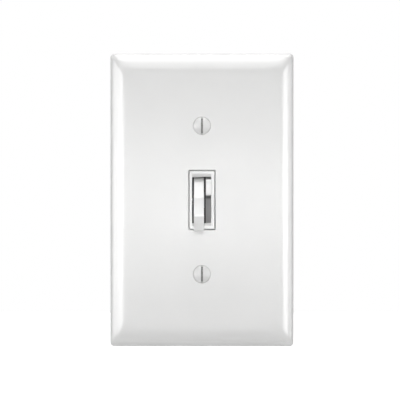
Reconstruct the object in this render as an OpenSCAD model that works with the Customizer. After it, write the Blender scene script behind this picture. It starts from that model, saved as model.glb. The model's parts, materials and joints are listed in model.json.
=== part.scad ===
// Toggle dimmer with a slide brightness control, on its wall plate.
// X is to the right seen from the room, Y points into the wall, Z is up.
// The origin is the centre of the wall plate, on the plane of the wall.

/* [Wall plate] */
// Width of the wall plate
plate_w = 74.6; // [66:0.1:95]
// Height of the wall plate
plate_h = 119.1; // [112:0.1:150]
// Depth from the wall to the plate's front face
plate_depth = 5.6; // [5.5:0.1:7.5]
// Thickness of the plate's front wall
plate_wall = 1.7; // [1.4:0.1:2]
// Width of the rim that meets the wall
plate_rim = 1.8; // [1.4:0.1:2.4]
// Height of the straight edge before the flank curves over
plate_edge = 1.4; // [0.8:0.1:1.8]
// Width of the curved flank round the front face
plate_flank = 8; // [5:0.5:11]
// Radius of the plate's outer corners
plate_corner_r = 2.2; // [1.5:0.1:5]

/* [Nose and slot] */
// How far the nose stands proud of the plate's face
nose_proud = 1.2; // [0.6:0.1:1.6]
// Gap between the nose and the plate's opening, each side
nose_gap = 0.2; // [0.1:0.05:0.4]
// Width of the nose's side bars
nose_side = 1.35; // [1.1:0.05:2]
// Height of the nose's top and bottom bars
nose_end = 2.5; // [2:0.1:4]
// Height of the slot that both controls share
slot_h = 18.8; // [16:0.1:22.6]
// Thickness of the partition between toggle and slide
partition_t = 0.5; // [0.4:0.05:0.8]

/* [Toggle] */
// Width of the toggle
toggle_w = 4.1; // [3.4:0.05:5]
// Gap on the free side of the toggle
toggle_gap = 0.55; // [0.3:0.05:0.8]
// Reach of the toggle from its axle to its tip
toggle_reach = 22.3; // [18:0.1:27]
// Thickness of the toggle's bar at its root
toggle_root = 8.8; // [7.4:0.1:10]
// Thickness of the toggle's bar at its tip
toggle_tip = 7; // [5.8:0.1:8]
// Tilt of the toggle each side of square to the wall, in degrees
toggle_tilt = 25; // [20:0.5:27]
// Radius of the toggle's axle pin
pin_r = 1; // [0.8:0.05:1.1]

/* [Slide] */
// Width of the slide knob
knob_w = 2.1; // [1.7:0.05:2.6]
// Height of the slide knob
knob_h = 6.5; // [5:0.1:8]
// How far the slide knob stands proud of the nose
knob_proud = 1.9; // [1:0.1:3]
// Gap between the knob and each end of the slot
knob_end_gap = 0.8; // [0.5:0.1:1.2]

/* [Strap] */
// Width of the mounting strap
strap_w = 44; // [42:0.1:54]
// Width of the strap's ends
strap_end_w = 34; // [30:0.1:40]
// Thickness of the strap
strap_t = 1.5; // [1.2:0.1:1.8]
// Distance between the two box screws
box_pitch = 83.3; // [83.3:0.1:83.3]
// Distance between the two plate screws
plate_pitch = 60.3; // [60.3:0.1:60.3]
// Length of strap beyond each box screw
strap_beyond = 10.75; // [8:0.25:12]

/* [Back body] */
// Width of the back body
body_w = 43; // [42:0.1:52]
// Height of the back body
body_h = 55.2; // [54:0.1:55.6]
// Depth of the back body behind the strap
body_depth = 31.6; // [30:0.1:38]
// Thickness of the back body's walls
body_wall = 1.6; // [1.3:0.1:1.9]
// Height of each terminal pocket
pocket_h = 9.6; // [8.6:0.1:10.4]

/* [Screws] */
// Thread radius of the plate and box screws
screw_r = 1.75; // [1.6:0.05:1.9]
// Head radius of the plate screws
plate_head_r = 3.5; // [3.2:0.1:3.8]
// Length of a box screw below its head
box_screw_l = 25.4; // [19:0.1:32]
// Head radius of the terminal screws
terminal_head_r = 3.7; // [3.2:0.1:3.9]

/* [Hidden] */
$fn = 64;

run = 0.05;      // running clearance of a pin in its bore
slip = 0.15;     // side clearance of a piece that slides or swings
seat = 0.02;     // clearance of a piece that is fixed in its seat
cut = 1;         // how far a cutting tool runs past the face that it cuts

// Back of the wall plate
frame_t = 1.6;                           // frame round the opening
boss_r = 5;                              // boss behind each plate screw
rib_x = 15;
rib_t = 1.2;
rib_end = 21;                            // from the plate's end to the end of each rib
overlap = 0.4;                           // how far a piece of one solid runs into the next

// Planes along Y
plate_front = -plate_depth;
plate_inside = plate_front + plate_wall;
strap_back = -0.2;                       // the plate's rim meets the wall before the strap does
strap_front = strap_back - strap_t;
boss_end = strap_front - 0.1;            // the plate's bosses stop just short of the strap
nose_front = plate_front - nose_proud;
flange_t = 1.8;
flange_back = strap_back + flange_t;
body_back = strap_back + body_depth;

// Nose and slot, from the free side of the toggle to the knob's far side
slot_w = toggle_gap + toggle_w + slip + partition_t + slip + knob_w + slip;
slot_left = -slot_w / 2;
toggle_left = slot_left + toggle_gap;
toggle_right = toggle_left + toggle_w;
partition_left = toggle_right + slip;
partition_right = partition_left + partition_t;
knob_left = partition_right + slip;
knob_right = knob_left + knob_w;
slot_right = slot_w / 2;
nose_w = slot_w + 2 * nose_side;
nose_h = slot_h + 2 * nose_end;
opening_w = nose_w + 2 * nose_gap;
opening_h = nose_h + 2 * nose_gap;
slot_chamfer = 1.1;

// Toggle
pivot_y = 1;                             // the axle lies just behind the plane of the wall
hub_r = slot_h / 2 - 0.75;
pocket_r = 3.6;                          // pocket in the hub for the partition's bearing boss
hub_pocket = 1.05;                       // depth of that pocket
bearing_r = pocket_r - 0.4;
bearing_left = slot_left - 2.5;          // far side of the cheek that carries the axle's other end
bore_r = 1.3;                            // bore for the plunger in the hub's tail
plunger_r = bore_r - 0.08;
bore_end = pocket_r + 0.3;               // how near the bore comes to the axle
saddle_r = 6;                            // inner radius of the saddle that the plunger rides in
saddle_angle = 48;                       // half the angle that the saddle spans
rocker_throw = 8;                        // tilt of the rocker each side of square, in degrees
saddle_half = saddle_r * sin(saddle_angle);
ball_gap = 0.15;                         // between the plunger's ball and the saddle
// Distance from the axle to the ball's centre that keeps the tilted rocker's arms clear of the hub
plunger_ball = sqrt(hub_r * hub_r - saddle_half * saddle_half) + saddle_half * sin(rocker_throw) + 0.25
    + saddle_r * (1 - cos(saddle_angle)) - plunger_r - ball_gap;
plunger_l = 2.4;                         // leaves the spring room for 0.6 mm of travel

// Slide
travel = slot_h - 2 * knob_end_gap - knob_h;
knob_z = travel / 2;                     // the knob is at the top of its travel
shutter_y = flange_back + slip;
shutter_t = 0.6;
shutter_l = slot_h + travel + 0.4;
shutter_left = knob_left - 0.05;
shutter_right = slot_right + 0.35;
carriage_y = shutter_y + shutter_t;
arm_t = 1.4;
arm_h = 4.4;
fork_w = 2.4;

// Potentiometer, to the right of the slide
pot_w = 7.4;
pot_x = knob_right + 1.25 + pot_w / 2;
pot_left = pot_x - pot_w / 2;
pot_right = pot_x + pot_w / 2;
pot_front = carriage_y + arm_t + 4.7;
pot_h = travel + 17.3;
pot_wall = 0.5;
lever_w = 0.8;
lever_h = 2;
wiper_deep = 1.6;                        // from the wipers' pads to the track
pot_pin_r = 0.4;

// Switch behind the toggle
saddle_y = pivot_y + plunger_ball + plunger_r + ball_gap - saddle_r;
rocker_t = 0.8;
fulcrum_y = saddle_y + saddle_r + rocker_t + 0.85;
rocker_x = (toggle_left + toggle_right) / 2;
rocker_w = 3;
rocker_reach = 9.6;
rocker_pin_r = 0.7;
fulcrum_w = 1.8;
contact_z = 8.2;
contact_r = 1.2;
contact_t = 0.8;
ear_t = 0.8;                             // ears of the common post
ear_h = 3.2;
arm_y = saddle_y + saddle_r * cos(saddle_angle);   // front face of the rocker's arms
fixed_y = arm_y + rocker_t + contact_t + 1.45;
strip_y = fixed_y + contact_t;           // traveller strips
strip_t = 0.7;
base_y = strip_y + strip_t;
base_t = 1.2;                            // floor of the switch base

// Circuit board
board_front = base_y + base_t;
board_t = 1.6;
board_back = board_front + board_t;
board_w = body_w - 2 * body_wall - 1;
board_h = body_h - 2 * body_wall - 0.8;
back_wall = body_back - 1.8;             // inner face of the back body's end wall

// Outline of the switch base, and its boss through the board
base_back = board_back + 0.4;
base_left = rocker_x - 7.1;
base_right = rocker_x + 5.9;
base_h = 26;
cutout_left = base_left + 0.8;
cutout_right = base_right - 0.8;
cutout_h = base_h - 2.4;

// Terminals and their pockets in the back body's sides
pocket_floor = body_w / 2 - 4.9;         // X of the pocket's floor, where the terminal plate lies
pocket_front = 6;
pocket_back = max(19.8, board_back + 3.2);
terminal_t = 0.7;
terminal_w = 8;
terminal_y = 11;
terminal_z = 9;                          // the two travellers sit this far above and below the middle
wire_gap = 1.8;                          // room for a wire under the screw's head
terminal_head_t = 1.8;
terminal_screw_r = 1.95;
strip_w = 3;

// Corner posts of the back body
post_x = body_w / 2 - 3.9;
post_z = body_h / 2 - 3.6;
post_r = 3;
body_screw_r = 1.25;
body_head_r = 2.4;
head_recess = 2.2;
ledge_z = post_z - 5.8;
ledge_w = 2.3;
leg_x = body_w / 2 - body_wall - 1.5;

// Triac against the back of the strap
triac_w = 10;
triac_x = bearing_left - 0.7 - triac_w / 2;
triac_z = 3.1;                           // lower end of its moulded body
triac_body_h = 9;
triac_body_t = 4.4;
triac_tab_h = 6.5;
triac_tab_t = 1.3;
triac_screw_r = 1.45;
pad_t = 0.2;
tab_hole_z = triac_z + triac_body_h + 3.4;
lead_pitch = 2.54;
lead_z = 1.7;

// ---- shared shapes ----

module box(x, y, z) {
    translate([x[0], y[0], z[0]]) cube([x[1] - x[0], y[1] - y[0], z[1] - z[0]]);
}

module rod_x(r, x0, x1) {
    translate([x0, 0, 0]) rotate([0, 90, 0]) cylinder(r = r, h = x1 - x0);
}

module rod_y(r, y0, y1) {
    translate([0, y0, 0]) rotate([-90, 0, 0]) cylinder(r = r, h = y1 - y0);
}

// A cone or cylinder along Y with a radius at each end
module taper_y(r0, r1, y0, y1) {
    translate([0, y0, 0]) rotate([-90, 0, 0]) cylinder(r1 = r0, r2 = r1, h = y1 - y0);
}

// Extrudes a profile drawn in (Y, Z) along X
module along_x(x0, x1) {
    translate([x0, 0, 0]) rotate([90, 0, 90]) linear_extrude(x1 - x0) children();
}

// Extrudes a profile drawn in (X, Z) along Y
module along_y(y0, y1) {
    translate([0, y1, 0]) rotate([90, 0, 0]) linear_extrude(y1 - y0) children();
}

// Rounded rectangle with exact arcs, centred on the origin
module rounded(w, h, r) {
    square([w - 2 * r, h], center = true);
    square([w, h - 2 * r], center = true);
    for (sx = [-1, 1], sz = [-1, 1]) translate([sx * (w / 2 - r), sz * (h / 2 - r)]) circle(r);
}

module four_corners(x, z) {
    for (sx = [-1, 1], sz = [-1, 1]) translate([sx * x, 0, sz * z]) children();
}

function bezier(p0, p1, p2, n) =
    [for (i = [0 : n]) let (t = i / n) p0 * (1 - t) * (1 - t) + p1 * 2 * t * (1 - t) + p2 * t * t];

function arc(c, r, a0, a1, n) =
    [for (i = [0 : n]) let (a = a0 + (a1 - a0) * i / n) c + r * [cos(a), sin(a)]];

// Outline of a rounded rectangle in (X, Z) at a given Y, for lofting
function outline(w, h, r, y, n = 6) =
    [for (q = [0 : 3], i = [0 : n])
        let (a = 90 * (q + i / n), sx = (q == 0 || q == 3) ? 1 : -1, sz = q < 2 ? 1 : -1)
        [sx * (w / 2 - r) + r * cos(a), y, sz * (h / 2 - r) + r * sin(a)]];

// Closed solid through a list of outlines that run towards -Y
module loft(rings) {
    n = len(rings[0]);
    last = len(rings) - 1;
    polyhedron(
        points = [for (ring = rings) each ring],
        faces = concat(
            [[for (i = [0 : n - 1]) i]],
            [for (k = [0 : last - 1], i = [0 : n - 1])
                [k * n + i, (k + 1) * n + i, (k + 1) * n + (i + 1) % n, k * n + (i + 1) % n]],
            [[for (i = [n - 1 : -1 : 0]) last * n + i]]
        ),
        convexity = 4
    );
}

// Round wire wound into a helix round the Y axis
module helix_y(coil_r, wire_r, y0, y1, turns, steps = 14, sides = 8) {
    n = turns * steps;
    rings = [for (k = [0 : n])
        let (t = 360 * k / steps, out = [cos(t), 0, sin(t)], y = y0 + (y1 - y0) * k / n)
        [for (j = [0 : sides - 1]) let (a = 360 * j / sides)
            [0, y, 0] + out * (coil_r + wire_r * cos(a)) + [0, 1, 0] * wire_r * sin(a)]];
    polyhedron(
        points = [for (ring = rings) each ring],
        faces = concat(
            [[for (j = [0 : sides - 1]) j]],
            [for (k = [0 : n - 1], j = [0 : sides - 1])
                [k * sides + j, (k + 1) * sides + j,
                 (k + 1) * sides + (j + 1) % sides, k * sides + (j + 1) % sides]],
            [[for (j = [sides - 1 : -1 : 0]) n * sides + j]]
        ),
        convexity = 10
    );
}

// Round-headed machine screw along Y, its head towards -Y and its thread ending at y1
module screw_y(head_r, head_t, shank_r, y0, y1, slot_w, slot_d) {
    difference() {
        union() {
            rod_y(head_r, y0, y0 + head_t);
            rod_y(shank_r, y0 + head_t, y1);
        }
        box([-slot_w / 2, slot_w / 2], [y0 - cut, y0 + slot_d], [-head_r - cut, head_r + cut]);
    }
}

// ---- wall plate ----

function dome_rings(w, h, r, edge, rise, flank, steps) =
    [for (k = [0 : steps])
        let (a = 90 * k / steps, inset = flank * (1 - cos(a)))
        outline(w - 2 * inset, h - 2 * inset, r, -edge - rise * sin(a))];

module plate_shell() {
    hollow_w = plate_w - 2 * plate_rim;
    hollow_h = plate_h - 2 * plate_rim;
    hollow_edge = plate_edge / 2;
    difference() {
        loft(concat(
            [outline(plate_w, plate_h, plate_corner_r, 0)],
            dome_rings(plate_w, plate_h, plate_corner_r, plate_edge, plate_depth - plate_edge, plate_flank, 9)
        ));
        loft(concat(
            [outline(hollow_w, hollow_h, plate_corner_r / 2, cut)],
            dome_rings(hollow_w, hollow_h, plate_corner_r / 2, hollow_edge,
                       -plate_inside - hollow_edge, plate_flank - plate_rim / 2, 6)
        ));
    }
}

cone_half_angle = 41;                    // of the plate screws and their countersinks
cone_l = (plate_head_r - screw_r) / tan(cone_half_angle);

module wall_plate() {
    color("white") difference() {
        union() {
            plate_shell();
            // frame round the opening, and a boss behind each screw
            along_y(plate_inside - overlap, boss_end) difference() {
                square([opening_w + 2 * frame_t, opening_h + 2 * frame_t], center = true);
                square([opening_w, opening_h], center = true);
            }
            for (s = [-1, 1]) translate([0, 0, s * plate_pitch / 2])
                rod_y(boss_r, plate_inside - overlap, boss_end);
            // long ribs that stiffen the front wall
            for (s = [-1, 1]) translate([s * rib_x, 0, 0])
                box([-rib_t / 2, rib_t / 2], [plate_inside - overlap, boss_end],
                    [-plate_h / 2 + rib_end, plate_h / 2 - rib_end]);
        }
        box([-opening_w / 2, opening_w / 2], [plate_front - cut, cut], [-opening_h / 2, opening_h / 2]);
        for (s = [-1, 1]) translate([0, 0, s * plate_pitch / 2]) {
            rod_y(screw_r + 0.25, plate_front - cut, cut);
            taper_y(plate_head_r + slip / 2, screw_r + slip / 2, plate_front - 0.001, plate_front + cone_l);
        }
    }
}

module plate_screws() {
    dome = 0.9;
    slot = 1;
    end = 6;
    sphere_r = (plate_head_r * plate_head_r + dome * dome) / (2 * dome);
    color("whitesmoke") for (s = [-1, 1]) translate([0, 0, s * plate_pitch / 2]) difference() {
        union() {
            intersection() {
                translate([0, plate_front - dome + sphere_r, 0]) sphere(sphere_r);
                rod_y(plate_head_r, plate_front - dome, plate_front);
            }
            taper_y(plate_head_r, screw_r, plate_front, plate_front + cone_l);
            rod_y(screw_r - run, plate_front + cone_l, end);
        }
        box([-slot / 2, slot / 2], [plate_front - dome - cut, plate_front + slot / 2],
            [-plate_head_r - cut, plate_head_r + cut]);
    }
}

// ---- mounting strap ----

strap_h = box_pitch + 2 * strap_beyond;
shoulder_z = body_h / 2 + 5.4;           // where the wide middle steps in to the ends
box_slot_r = screw_r + 0.2;
box_slot_half = 1.7;                     // half the straight part of a box screw's slot
ear_hole_r = 1.9;
ear_in = 5.4;                            // from the strap's end to the holes in the ears
score_depth = 0.35;
tab_x = -strap_end_w / 2;
tab_z = -box_pitch / 2 + 1.65;
tab_h = 9;
tab_reach = 8;

module strap_outline() {
    rounded(strap_w, 2 * shoulder_z, 2);
    rounded(strap_end_w, strap_h, 3.5);
}

// Runs a round tool through the strap
module strap_hole(r) rod_y(r, strap_front - cut, strap_back + cut);

module mounting_strap() {
    color("silver") difference() {
        union() {
            along_y(strap_front, strap_back) strap_outline();
            // earth tab, bent back from the lower left edge
            box([tab_x, tab_x + strap_t], [strap_front, tab_reach], [tab_z - tab_h / 2, tab_z + tab_h / 2]);
        }
        along_y(strap_front - cut, strap_back + cut) square([opening_w, opening_h], center = true);
        for (s = [-1, 1]) {
            translate([0, 0, s * plate_pitch / 2]) strap_hole(screw_r);
            // slots for the box screws, long across the strap
            translate([0, 0, s * box_pitch / 2]) {
                box([-box_slot_half, box_slot_half], [strap_front - cut, strap_back + cut],
                    [-box_slot_r, box_slot_r]);
                for (t = [-1, 1]) translate([t * box_slot_half, 0, 0]) strap_hole(box_slot_r);
            }
            // ears that snap off, each scored and pierced
            for (t = [-1, 1]) translate([t * strap_end_w / 2, 0, s * (strap_h / 2 - ear_in)]) {
                translate([-t * (ear_hole_r + 1.5), 0, 0]) strap_hole(ear_hole_r);
                translate([-t * (2 * ear_hole_r + 2.6), 0, 0])
                    box([-0.3, 0.3], [strap_front - cut, strap_front + score_depth],
                        [-ear_in - cut, ear_in + cut]);
            }
        }
        four_corners(post_x, post_z) strap_hole(body_screw_r + run);
        translate([triac_x, 0, tab_hole_z]) strap_hole(triac_screw_r + run);
        translate([0, earth_y, tab_z]) rod_x(terminal_screw_r + run, tab_x - cut, tab_x + strap_t + cut);
    }
}

// Screw that holds the device to the wall box: pan head, a thin captive neck, then the thread
module box_screws() {
    head_r = 3.4;
    head_t = 1.9;
    point = 1;
    top = strap_front - head_t;
    neck_end = strap_back + retainer_t + 0.4;
    color("lightgray") for (s = [-1, 1]) translate([0, 0, s * box_pitch / 2]) difference() {
        union() {
            rod_y(head_r, top, strap_front);
            rod_y(neck_r, strap_front, neck_end);
            rod_y(screw_r, neck_end, strap_front + box_screw_l - point);
            taper_y(screw_r, screw_r - 0.8, strap_front + box_screw_l - point, strap_front + box_screw_l);
        }
        // slot, crossed by a short recess
        box([-0.6, 0.6], [top - cut, top + 1.1], [-head_r - cut, head_r + cut]);
        box([-2, 2], [top - cut, top + 1.3], [-0.6, 0.6]);
    }
}

neck_r = screw_r - 0.3;
retainer_t = 0.7;
retainer_w = 9.6;

module screw_retainers() {
    color("peru") for (s = [-1, 1]) translate([0, 0, s * box_pitch / 2]) difference() {
        along_y(strap_back, strap_back + retainer_t) rounded(retainer_w, retainer_w, 0.8);
        rod_y(neck_r + run, strap_back - cut, strap_back + retainer_t + cut);
    }
}

// ---- front housing: the nose, its flange and the toggle's bearings ----

flange_w = body_w - 2 * body_wall - 0.4;
flange_h = body_h - 2 * body_wall - 0.4;
bearing_depth = pivot_y + pin_r + 1.2;
cheek_h = 5.2;
leg_r = 1.2;
partition_deep = 2.8;                    // how far the partition stands back from the nose's face
partition_h = 10;                        // its height behind the flange
rail_t = 0.7;                            // rail beside the shutter
// window in the flange that lets the triac's tab reach the strap
window_x = [triac_x - triac_w / 2 - 0.7, bearing_left];
window_z = [-2, triac_z + triac_body_h + triac_tab_h + 0.8];

module front_housing() {
    color("white") difference() {
        union() {
            along_y(nose_front, strap_back) rounded(nose_w, nose_h, 0.3);
            box([-flange_w / 2, flange_w / 2], [strap_back, flange_back], [-flange_h / 2, flange_h / 2]);
            // cheek that carries the far end of the axle
            box([bearing_left, slot_left], [flange_back - overlap, bearing_depth], [-cheek_h / 2, cheek_h / 2]);
            // legs that press the circuit board on its ledges
            four_corners(leg_x, ledge_z) rod_y(leg_r, flange_back - overlap, board_front);
            translate([shutter_right + slip, 0, 0])
                box([0, rail_t], [flange_back - overlap, carriage_y - slip], [-shutter_l / 2, shutter_l / 2]);
        }
        box([slot_left, slot_right], [nose_front - cut, bearing_depth + cut], [-slot_h / 2, slot_h / 2]);
        // finger relief at both ends of the slot
        for (s = [-1, 1]) scale([1, 1, s]) along_x(slot_left, slot_right)
            polygon([
                [nose_front - cut, slot_h / 2 - cut], [nose_front - cut, slot_h / 2 + slot_chamfer + cut],
                [nose_front + slot_chamfer, slot_h / 2], [nose_front + slot_chamfer, slot_h / 2 - cut]
            ]);
        box(window_x, [strap_back - cut, flange_back + cut], window_z);
        four_corners(post_x, post_z) rod_y(post_r + 0.3, strap_back - cut, flange_back + cut);
        translate([0, pivot_y, 0]) rod_x(pin_r + seat, bearing_left - cut, slot_left + cut);
    }
    // partition between toggle and slide, with the boss that carries the near end of the axle
    color("white") difference() {
        union() {
            box([partition_left, partition_right], [nose_front + partition_deep, flange_back],
                [-slot_h / 2, slot_h / 2]);
            box([partition_left, partition_right], [flange_back, pivot_y + bearing_r + 1.4],
                [-partition_h / 2, partition_h / 2]);
            translate([0, pivot_y, 0]) rod_x(bearing_r, toggle_right - hub_pocket + 0.2, partition_left);
        }
        translate([0, pivot_y, 0]) rod_x(pin_r + seat, toggle_right - hub_pocket - cut, partition_left);
    }
}

module toggle_pin() {
    color("silver") translate([0, pivot_y, 0]) rod_x(pin_r, bearing_left + 0.2, partition_left - 0.05);
}

// ---- toggle, drawn square to the wall and then tilted down ----

module in_toggle() {
    translate([0, pivot_y, 0]) rotate([toggle_tilt, 0, 0]) children();
}

// Upper half of the bar's outline, as distance from the axle and height above the bar's middle
function bar_edge() =
    let (root = toggle_root / 2, tip = toggle_tip / 2,
         corner = [sqrt(hub_r * hub_r - root * root), root],
         slope = (tip - root) / (toggle_reach - corner[0]),
         blend = 2.2, tip_r = 1.1,
         on_hub = atan2(corner[1], corner[0]) + 13)
    concat(
        bezier((hub_r - 0.03) * [cos(on_hub), sin(on_hub)], corner, corner + blend * [1, slope], 6),
        bezier([toggle_reach - tip_r, tip - slope * tip_r], [toggle_reach, tip],
               [toggle_reach + 0.1, tip - tip_r], 5)
    );

module toggle_profile() {
    upper = bar_edge();
    lower = [for (i = [len(upper) - 1 : -1 : 0]) [upper[i][0], -upper[i][1]]];
    circle(hub_r);
    mirror([1, 0]) polygon(concat([[0, 0]], upper, lower));
}

module toggle_lever() {
    color("white") in_toggle() difference() {
        along_x(toggle_left, toggle_right) toggle_profile();
        rod_x(pocket_r, toggle_right - hub_pocket, toggle_right + cut);
        rod_x(pin_r + run, toggle_left - cut, toggle_right);
        translate([rocker_x, 0, 0]) rod_y(bore_r, bore_end, hub_r + cut);
    }
}

module toggle_plunger() {
    color("gainsboro") in_toggle() translate([rocker_x, plunger_ball, 0]) {
        sphere(plunger_r);
        rod_y(plunger_r, -plunger_l, 0);
    }
}

module plunger_spring() {
    wire = 0.15;
    coil = bore_r - wire - 0.2;
    turns = 4;
    color("dimgray") in_toggle() translate([rocker_x, 0, 0])
        helix_y(coil, wire, bore_end + wire + seat, plunger_ball - plunger_l - wire - seat, turns);
}

// ---- slide, drawn with the knob at mid travel and then raised ----

module in_slide() {
    translate([0, 0, knob_z]) children();
}

// Peg that joins the knob, the shutter and the carriage
module peg(grow, y0, y1) {
    box([knob_left + 0.35 - grow, knob_right - 0.35 + grow], [y0, y1], [-1 - grow, 1 + grow]);
}

module peg_hole() peg(seat, shutter_y - cut, carriage_y + arm_t + cut);

module slide_knob() {
    front = nose_front - knob_proud;
    edge = knob_h / 2;
    dip = 0.35;                          // hollow for the finger
    upper = [[shutter_y, edge], [nose_front + 1, edge], [front + 0.3, edge - 0.5], [front, edge - 1]];
    lower = [for (i = [3 : -1 : 0]) [upper[i][0], -upper[i][1]]];
    color("white") in_slide() {
        along_x(knob_left, knob_right) polygon(concat(upper, [[front + dip, 0]], lower));
        peg(0, shutter_y - overlap, carriage_y + arm_t);
    }
}

module slide_shutter() {
    color("gray") in_slide() difference() {
        box([shutter_left, shutter_right], [shutter_y, carriage_y], [-shutter_l / 2, shutter_l / 2]);
        peg_hole();
    }
}

module slide_carriage() {
    color("lightgray") in_slide() difference() {
        union() {
            box([shutter_left, pot_x + fork_w / 2], [carriage_y, carriage_y + arm_t], [-arm_h / 2, arm_h / 2]);
            // fork that takes the potentiometer's lever
            for (s = [-1, 1]) scale([1, 1, s])
                box([pot_x - fork_w / 2, pot_x + fork_w / 2], [carriage_y + arm_t - overlap, pot_front - 0.8],
                    [lever_h / 2 + slip, arm_h / 2]);
        }
        peg_hole();
    }
}

// ---- slide potentiometer ----

pot_back = board_front - 0.1;
track_y = pot_back - pot_wall - 0.8;

module pot_case() {
    color("silver") difference() {
        box([pot_left, pot_right], [pot_front, pot_back], [-pot_h / 2, pot_h / 2]);
        box([pot_left + pot_wall, pot_right - pot_wall], [pot_front + pot_wall, pot_back - pot_wall],
            [-pot_h / 2 + pot_wall, pot_h / 2 - pot_wall]);
        // slot for the lever
        box([pot_x - lever_w / 2 - slip, pot_x + lever_w / 2 + slip],
            [pot_front - cut, pot_front + pot_wall + cut],
            [-travel / 2 - lever_h / 2 - 0.6, travel / 2 + lever_h / 2 + 0.6]);
    }
}

module pot_track() {
    color("saddlebrown")
        box([pot_left + pot_wall, pot_right - pot_wall], [track_y, pot_back - pot_wall],
            [-pot_h / 2 + pot_wall, pot_h / 2 - pot_wall]);
}

module pot_lever() {
    color("ivory") in_slide() {
        box([pot_x - lever_w / 2, pot_x + lever_w / 2],
            [carriage_y + arm_t + slip, pot_front + pot_wall + slip + overlap], [-lever_h / 2, lever_h / 2]);
        // shoe that carries the wipers
        box([pot_left + pot_wall + slip, pot_right - pot_wall - slip],
            [pot_front + pot_wall + slip, track_y - wiper_deep], [-2.6, 2.6]);
    }
}

// Two sprung fingers, each folded from a flat pad down to its track
module pot_wiper() {
    pad_half = 2.2;
    pad = track_y - wiper_deep;
    leaf = 0.25;
    touch = track_y - run;
    color("goldenrod") in_slide() for (s = [-1, 1]) translate([pot_x + s * 1.6, 0, 0]) along_x(-0.5, 0.5)
        polygon([
            [pad, -pad_half], [pad, pad_half], [pad + leaf, pad_half], [pad + leaf, -1],
            [touch - leaf, 1.2], [touch, 1.7], [touch, 1.4], [touch - 2 * leaf, 0.6],
            [pad + leaf, -1.5], [pad + leaf, -pad_half]
        ]);
}

module at_pot_pins() {
    for (z = [-1, 1], x = [-1, 1]) translate([pot_x + x * 2.5, 0, z * (pot_h / 2 - 1.5)]) children();
}

module pot_pins() {
    color("gainsboro") at_pot_pins() rod_y(pot_pin_r, pot_back, board_back + 1);
}

// ---- switch ----

module in_rocker() {
    translate([0, fulcrum_y, 0]) rotate([-rocker_throw, 0, 0]) translate([0, -fulcrum_y, 0]) children();
}

module contact_rocker() {
    outer = saddle_r + rocker_t;
    centre = [saddle_y, 0];
    color("goldenrod") in_rocker() difference() {
        union() {
            along_x(rocker_x - rocker_w / 2, rocker_x + rocker_w / 2) polygon(concat(
                [[arm_y, -rocker_reach]], arc(centre, saddle_r, -saddle_angle, saddle_angle, 14),
                [[arm_y, rocker_reach], [arm_y + rocker_t, rocker_reach]],
                arc(centre, outer, saddle_angle - 2, 2 - saddle_angle, 14), [[arm_y + rocker_t, -rocker_reach]]
            ));
            box([rocker_x - fulcrum_w / 2, rocker_x + fulcrum_w / 2], [fulcrum_y - 1.1, fulcrum_y + 0.9],
                [-1.1, 1.1]);
        }
        translate([0, fulcrum_y, 0]) rod_x(rocker_pin_r + run, rocker_x - rocker_w, rocker_x + rocker_w);
    }
}

module rocker_contacts() {
    color("gainsboro") in_rocker() for (s = [-1, 1]) translate([rocker_x, 0, s * contact_z])
        rod_y(contact_r, arm_y + rocker_t, arm_y + rocker_t + contact_t);
}

module rocker_pin() {
    color("silver") translate([0, fulcrum_y, 0])
        rod_x(rocker_pin_r, rocker_x - ear_x - ear_t / 2, rocker_x + ear_x + ear_t / 2);
}

module fixed_contacts() {
    color("gainsboro") for (s = [-1, 1]) translate([rocker_x, 0, s * (contact_z + 0.2)])
        rod_y(contact_r + 0.2, fixed_y, strip_y);
}

ear_x = rocker_w / 2 + 0.1 + ear_t / 2;  // from the rocker's middle to the middle of each ear

// Ears of the common post, each side of the rocker, or the slots that they pass through
module ears(grow, y0, y1) {
    for (s = [-1, 1]) translate([rocker_x + s * ear_x, 0, 0])
        box([-ear_t / 2 - grow, ear_t / 2 + grow], [y0, y1], [-ear_h / 2 - grow, ear_h / 2 + grow]);
}

module switch_base() {
    wall_t = 0.8;
    chamber_x = max(toggle_w / 2, ear_x + ear_t / 2) + 0.35 + wall_t / 2;
    color("saddlebrown") difference() {
        union() {
            box([base_left, base_right], [base_y, board_front], [-base_h / 2, base_h / 2]);
            box([cutout_left + slip, cutout_right - slip], [board_front - overlap, base_back],
                [-cutout_h / 2 + slip, cutout_h / 2 - slip]);
            // walls of the arc chamber
            for (s = [-1, 1]) translate([rocker_x + s * chamber_x, 0, 0])
                box([-wall_t / 2, wall_t / 2], [arm_y, base_y + overlap], [-base_h / 2, base_h / 2]);
        }
        ears(0.1, base_y - cut, base_back + cut);
        // relief behind the rocker's fulcrum block
        box([rocker_x - fulcrum_w / 2 - 0.2, rocker_x + fulcrum_w / 2 + 0.2], [base_y - cut, base_y + 0.45],
            [-2, 2]);
        // the traveller strips pass under the chamber's left wall
        for (s = [-1, 1]) translate([0, 0, s * terminal_z])
            box([base_left - cut, rocker_x - 1], [strip_y - run, base_y],
                [-strip_w / 2 - run, strip_w / 2 + run]);
    }
}

module terminal_plate(side, z, y_end) {
    near = pocket_floor;
    difference() {
        box(side > 0 ? [near, near + terminal_t] : [-near - terminal_t, -near],
            [terminal_y - 4, y_end], [z - terminal_w / 2, z + terminal_w / 2]);
        translate([0, terminal_y, z]) rod_x(terminal_screw_r + run, -body_w, body_w);
    }
}

bridge_y = base_back + seat;             // the strip behind the board that joins the ears to the terminal

module common_terminal() {
    color("darkgoldenrod") {
        difference() {
            union() {
                ears(0, fulcrum_y - 1.3, bridge_y + terminal_t);
                box([rocker_x - ear_x - ear_t / 2, pocket_floor + terminal_t],
                    [bridge_y, bridge_y + terminal_t], [-ear_h / 2, ear_h / 2]);
            }
            translate([0, fulcrum_y, 0]) rod_x(rocker_pin_r + seat, -body_w, body_w);
        }
        terminal_plate(1, 0, bridge_y + terminal_t);
    }
}

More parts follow.
